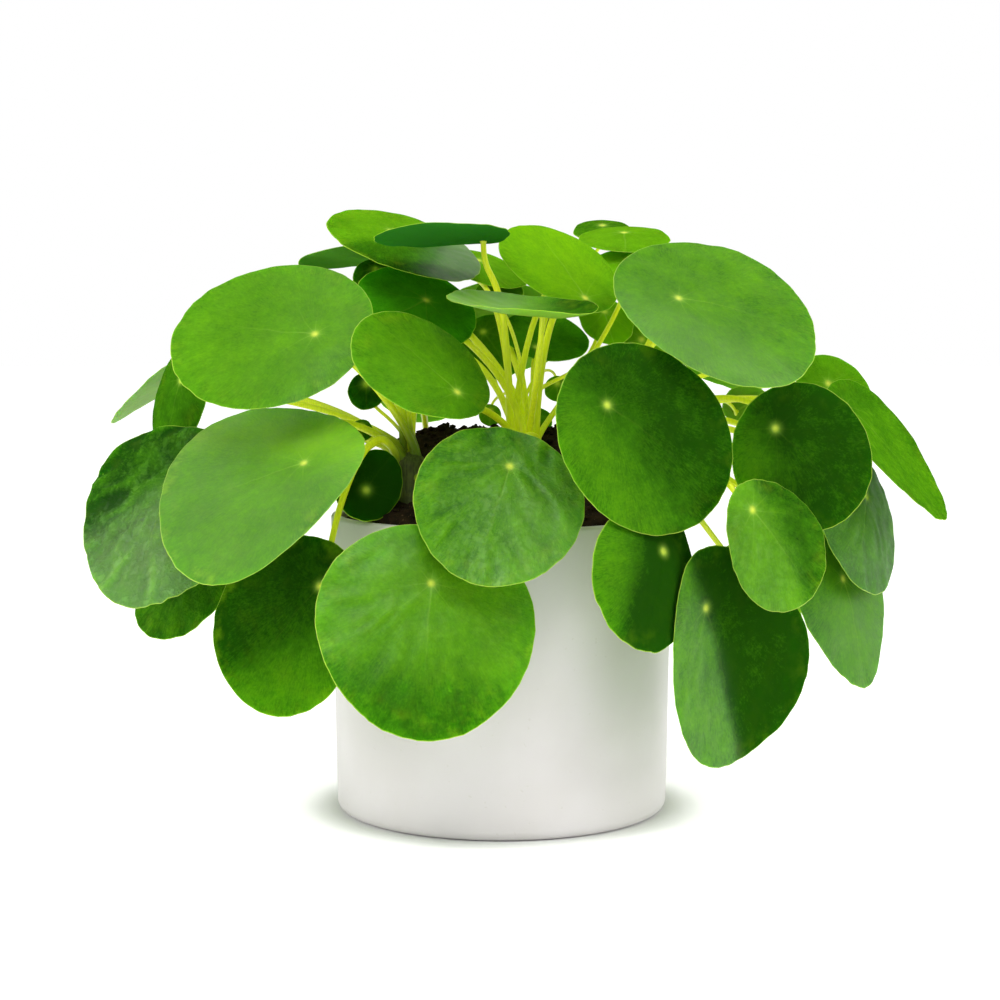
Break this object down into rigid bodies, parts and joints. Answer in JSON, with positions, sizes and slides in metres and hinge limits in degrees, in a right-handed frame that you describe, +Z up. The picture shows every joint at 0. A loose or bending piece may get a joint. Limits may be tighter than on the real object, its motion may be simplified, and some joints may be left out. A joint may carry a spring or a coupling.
{
  "type": "potted pilea plant",
  "caption": "Bushy house plant with round leaves on long thin stalks, growing from dark soil in a plain white cylindrical pot.",
  "frame": {"origin": "centre of the pot's flat underside, where it rests on a table", "axes": "+Z up along the pot's axis; -Y is the front of the plant that the picture shows; +X to the right of that view"},
  "size_m": [0.3533, 0.2408, 0.2471],
  "materials": {
    "pot_white": "satin",
    "soil_dark": "matte",
    "stalk_green": "satin",
    "leaf_green": "satin"
  },
  "bodies": {
    "root": {"pot": "pot_white", "soil": "soil_dark", "stems_left": "stalk_green", "stems_mid": "stalk_green", "stems_right": "stalk_green", "leaf_left_1": "leaf_green", "leaf_left_2": "leaf_green", "leaf_left_3": "leaf_green", "leaf_left_4": "leaf_green", "leaf_left_5": "leaf_green", "leaf_left_6": "leaf_green", "leaf_left_7": "leaf_green", "leaf_left_8": "leaf_green", "leaf_left_9": "leaf_green", "leaf_left_10": "leaf_green", "leaf_left_11": "leaf_green", "leaf_left_12": "leaf_green", "leaf_left_13": "leaf_green", "leaf_left_14": "leaf_green", "leaf_left_15": "leaf_green", "leaf_left_16": "leaf_green", "leaf_left_17": "leaf_green", "leaf_mid_1": "leaf_green", "leaf_mid_2": "leaf_green", "leaf_mid_3": "leaf_green", "leaf_mid_4": "leaf_green", "leaf_mid_5": "leaf_green", "leaf_mid_6": "leaf_green", "leaf_mid_7": "leaf_green", "leaf_mid_8": "leaf_green", "leaf_mid_9": "leaf_green", "leaf_mid_10": "leaf_green", "leaf_mid_11": "leaf_green", "leaf_mid_12": "leaf_green", "leaf_mid_13": "leaf_green", "leaf_mid_14": "leaf_green", "leaf_mid_15": "leaf_green", "leaf_mid_16": "leaf_green", "leaf_mid_17": "leaf_green", "leaf_mid_18": "leaf_green", "leaf_mid_19": "leaf_green", "leaf_mid_20": "leaf_green", "leaf_mid_21": "leaf_green", "leaf_right_1": "leaf_green", "leaf_right_2": "leaf_green", "leaf_right_3": "leaf_green", "leaf_right_4": "leaf_green", "leaf_right_5": "leaf_green", "leaf_right_6": "leaf_green", "leaf_right_7": "leaf_green", "leaf_right_8": "leaf_green", "leaf_right_9": "leaf_green", "leaf_right_10": "leaf_green", "leaf_right_11": "leaf_green", "leaf_right_12": "leaf_green", "leaf_right_13": "leaf_green", "leaf_right_14": "leaf_green", "leaf_right_15": "leaf_green", "leaf_right_16": "leaf_green", "leaf_right_17": "leaf_green"}
  },
  "joints": []
}
